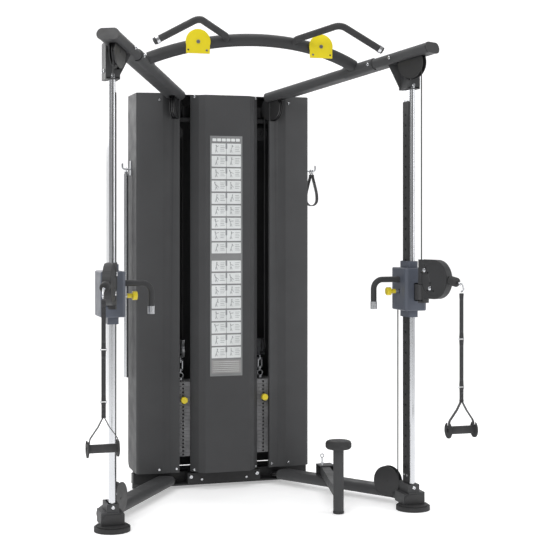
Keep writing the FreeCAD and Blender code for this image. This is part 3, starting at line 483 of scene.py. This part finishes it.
def add_handle(sign, side):
    x, y = HANG
    at = lambda z, dx=0.0, dy=0.0: mm(x * sign + dx, y + dy, z)
    pieces = [
        webbing_loop("upper", at(1050), at(851.5), STRAP_W, STRAP_GAP),
        webbing_loop("lower", at(838.5), at(631.5), STRAP_W, STRAP_GAP),
        webbing_loop("yoke", at(618.5), at(562), STRAP_W, STRAP_GAP, 0.003),
        torus("ring_a", at(845), Vector((0, 1, 0)), 0.0135, 0.0018, "steel", 0.52),
        torus("ring_b", at(625), Vector((0, 1, 0)), 0.0135, 0.0018, "steel", 0.52),
    ]
    for z in (1030, 880, 812, 660, 596, 572):
        pieces += stitches("stitch", at(z), 0.015, 0.008, at(z).y - 0.0028)
        pieces += stitches("stitch", at(z), 0.015, 0.008, at(z).y + 0.0028)
    for end in (-1, 1):
        foot_x = -61.0 if end < 0 else 66.0
        points = [at(560, end * 3), at(548, end * 9), at(520, end * 24),
                  at(470, foot_x * 0.93, 8), at(436, foot_x, 8)]
        leg = rounded(points, [0.01, 0.03, 0.03], 8)
        section = band_profile(0.021, 0.003)
        pieces.append(sweep("leg", dense(leg, 0.006), section, Vector((0, 1, 0)), "webbing"))
    strap = join(f"handle_strap_web_{side}", pieces)
    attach(strap, f"handle_{side}")
    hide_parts(f"handle_strap_{side}")


def add_ankle_strap():
    cx, y = 514.0, 850.0
    outline = [(6, 1636), (8, 1620), (18, 1582), (28, 1540), (31, 1510), (28, 1487), (16, 1473), (0, 1468)]
    right = [mm(cx + a, y, z) for a, z in outline]
    left = [mm(cx - a, y, z) for a, z in reversed(outline[:-1])]
    points = right + left
    smooth = []
    for k in range(len(points) - 1):
        p0, p1 = points[max(k - 1, 0)], points[k]
        p2, p3 = points[k + 1], points[min(k + 2, len(points) - 1)]
        for i in range(6):
            f = i / 6
            smooth.append(0.5 * ((2 * p1) + (p2 - p0) * f + (2 * p0 - 5 * p1 + 4 * p2 - p3) * f * f
                                 + (3 * p1 - p0 - 3 * p2 + p3) * f * f * f))
    smooth.append(points[-1])
    pieces = [sweep("band", smooth, band_profile(0.042, 0.0035), Vector((0, 1, 0)), "webbing")]
    for s in (-1, 1):
        pieces.append(torus("ring", mm(cx + s * 5.5, y, 1650.2), Vector((1, 0, 0)), 0.012, 0.0024, "chrome"))
    strap = join("ankle_strap_web", pieces)
    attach(strap, "ankle_strap_body")
    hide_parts("ankle_strap")


# ------------------------------------------------------------------ bolt heads
def bolt_head(name, base, out, r, body, material="chrome"):
    """Domed head with a socket, turned about its axis and standing on a plate."""
    u = out.orthogonal().normalized()
    w = out.cross(u)
    profile = [(1.0, 0.0), (1.0, 0.25), (0.9, 0.42), (0.7, 0.52), (0.42, 0.56), (0.38, 0.5), (0.38, 0.22)]
    verts, n = [], 24
    for radius, lift in profile:
        for k in range(n):
            angle = 2 * math.pi * k / n
            verts.append(base + (u * math.cos(angle) + w * math.sin(angle)) * radius * r + out * lift * r)
    faces = [tuple(reversed(range(n))), tuple(range(len(verts) - n, len(verts)))]
    for row in range(len(profile) - 1):
        for k in range(n):
            j = (k + 1) % n
            faces.append((row * n + k, row * n + j, (row + 1) * n + j, (row + 1) * n + k))
    head = mesh_object(name, verts, faces, material, smooth=False)
    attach(head, body)


def add_bolts(sign, side):
    for k, (a, z) in enumerate(SWIVEL_AXLES):
        for turn in (-1, 1):
            base = drum(a, z, 20.6 * turn)
            out = SWIVEL.cross(UP) * turn
            base, out = Vector((base.x * sign, base.y, base.z)), Vector((out.x * sign, out.y, 0))
            bolt_head(f"drum_bolt_{side}_{k}_{turn + 1}", base, out, 0.011, f"swivel_{side}")
    for k, (x, z, radius) in enumerate(((303, 2223, 0.009), (262, 2183, 0.005))):
        bolt_head(f"anchor_bolt_{side}_{k}", mm(x * sign, 79.8, z), FORWARD, radius, "frame", "iron")
    for k, (x, z) in enumerate(((762, 1018), (762, 1034), (764, 1076))):
        bolt_head(f"cover_bolt_{side}_{k}", mm(x * sign, -80.2, z), FORWARD, 0.005, f"carriage_{side}")


# ------------------------------------------------------------------ exercise chart
def card(name, x, z, y, material, lift=0.0004, round_r=0.003):
    verts, faces = [], []
    for depth in (0.0, -lift):
        for cx, cz, start in ((x[1], z[1], 0), (x[0], z[1], 90), (x[0], z[0], 180), (x[1], z[0], 270)):
            ox = cx + (-round_r if cx == x[1] else round_r)
            oz = cz + (-round_r if cz == z[1] else round_r)
            for k in range(5):
                angle = math.radians(start + 22.5 * k)
                verts.append((ox + round_r * math.cos(angle), y + depth, oz + round_r * math.sin(angle)))
    n = 20
    faces.append(tuple(range(n, 2 * n)))
    for i in range(n):
        j = (i + 1) % n
        faces.append((i, j, n + j, n + i))
    return mesh_object(name, verts, faces, material, smooth=False)


def add_chart():
    left, right, face = -0.094, 0.078, mm(0, 678.4, 0).y
    pitch = 63.9
    cards, marks = [], []
    rows = [1786 - pitch * k for k in range(9)] + [1181.5 - pitch * k for k in range(8)]
    for n, top in enumerate(rows):
        z1, z0 = top / 1000, (top - 56) / 1000
        cards.append(card("cell", (-0.0125, -0.0035), (z1 - 0.027, z1 - 0.001), face, "ink", 0.0009, 0.001))
        for half in (0, 1):
            x0 = left + 0.008 + half * 0.079
            cards.append(card("cell", (x0, x0 + 0.077), (z0, z1), face, "card"))
            mid, base = x0 + 0.024, z0 + 0.010
            lean = 0.008 * math.sin(1.7 * n + half)
            front = face - 0.0006
            head = Vector((mid + lean, front, base + 0.034))
            hip = Vector((mid, front, base + 0.014))
            marks.append(tube("m", [head, head + Vector((0.0001, 0, 0.004))], 0.0026, "ink", 8))
            feet = Vector((mid - 0.005, front, base)), Vector((mid + 0.006, front, base))
            limbs = [(head, hip), (hip, feet[0]), (hip, feet[1])]
            reach = 0.012 * math.cos(0.9 * n)
            limbs.append((head.lerp(hip, 0.3), Vector((mid + 0.013, front, base + 0.022 + reach))))
            for a, b in limbs:
                marks.append(tube("m", [a, b], 0.0012, "ink", 6))
            for k in range(4):
                z = z1 - 0.012 - 0.009 * k
                a = Vector((x0 + 0.046, front, z))
                b = Vector((x0 + 0.066 + 0.004 * ((n + k) % 2), front, z))
                marks.append(tube("m", [a, b], 0.0009, "ink", 6))
    cards.append(card("cell", (left + 0.008, right - 0.008), (0.600, 0.668), face, "panel"))
    for k in range(6):
        z = 0.609 + 0.010 * k
        a, b = Vector((left + 0.016, face - 0.0006, z)), Vector((right - 0.018, face - 0.0006, z))
        marks.append(tube("m", [a, b], 0.0009, "card", 6))
    for k in range(6):
        x = left + 0.012 + 0.025 * k
        cards.append(card("cell", (x, x + 0.021), (1.797, 1.812), face, "card"))
    for name, parts in (("chart_cards", cards), ("chart_marks", marks)):
        piece = join(name, parts)
        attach(piece, "frame")


for sign, side in ((1, "right"), (-1, "left")):
    add_cables(sign, side)
    add_handle(sign, side)
    add_bolts(sign, side)
add_ankle_strap()
add_chart()


# ------------------------------------------------------------------ stage, lights and camera
CAMERA_AT = (-1740.9, -5820.7, 1388)
VIEW_TURN = math.radians(-17.2936)
LENS, SHIFT_Y = 83.57, -0.1061


def backdrop():
    """Pale floor that curves up into a wall behind the machine."""
    near, far, radius, top, width = -14.0, 7.0, 3.0, 12.0, 16.0
    line = [(near, 0.0), (-6.0, 0.0), (0.0, 0.0), (far - radius, 0.0)]
    for k in range(1, 17):
        angle = math.radians(90 * k / 16)
        line.append((far - radius + radius * math.sin(angle), radius - radius * math.cos(angle)))
    line.append((far, top))
    verts = [(x, y, z) for y, z in line for x in (-width, width)]
    faces = [(2 * k, 2 * k + 1, 2 * k + 3, 2 * k + 2) for k in range(len(line) - 1)]
    floor = mesh_object("backdrop", verts, faces, "card")
    mat, tree, shader = new_material("studio paper", (0.9, 0.9, 0.905), 0.6)
    tint(tree, noise(tree, 1.5, 4.0), shader, (0.9, 0.9, 0.905), 0.99, 1.01)
    shader.inputs["Emission Color"].default_value = (1, 1, 1, 1)
    shader.inputs["Emission Strength"].default_value = 0.36
    floor.data.materials.clear()
    floor.data.materials.append(mat)
    floor.rotation_euler = (0, 0, VIEW_TURN)


def area_light(name, place, target, size, power):
    light = bpy.data.lights.new(name, "AREA")
    light.shape = "RECTANGLE"
    light.size, light.size_y = size
    light.energy = power
    obj = bpy.data.objects.new(name, light)
    bpy.context.scene.collection.objects.link(obj)
    obj.location = place
    obj.rotation_euler = (Vector(target) - Vector(place)).to_track_quat("-Z", "Y").to_euler()


def camera():
    data = bpy.data.cameras.new("camera")
    data.sensor_width = 36.0
    data.lens = LENS
    data.shift_y = SHIFT_Y
    data.clip_end = 100
    obj = bpy.data.objects.new("camera", data)
    bpy.context.scene.collection.objects.link(obj)
    obj.location = mm(*CAMERA_AT)
    obj.rotation_euler = (math.radians(90), 0, VIEW_TURN)
    bpy.context.scene.camera = obj


LIGHTS = (  # name, place, target, size in metres, watts
    ("key", (-3.5, -4.0, 4.5), (0, 0, 1.1), (3.0, 3.0), 150),
    ("fill", (4.5, -3.0, 2.6), (0, 0, 1.0), (2.5, 3.5), 80),
    ("top", (0, 0.2, 5.0), (0, 0.2, 0), (4.0, 4.0), 110),
    ("rim", (-2.5, 4.5, 3.5), (0, 0, 1.2), (3.0, 3.0), 70),
)
backdrop()
for light in LIGHTS:
    area_light(*light)
world = bpy.data.worlds.new("studio")
world.use_nodes = True
world.node_tree.nodes["Background"].inputs["Color"].default_value = (1, 1, 1, 1)
world.node_tree.nodes["Background"].inputs["Strength"].default_value = 0.35
bpy.context.scene.world = world
bpy.context.scene.view_settings.view_transform = "Standard"
bpy.context.scene.view_settings.look = "None"
camera()
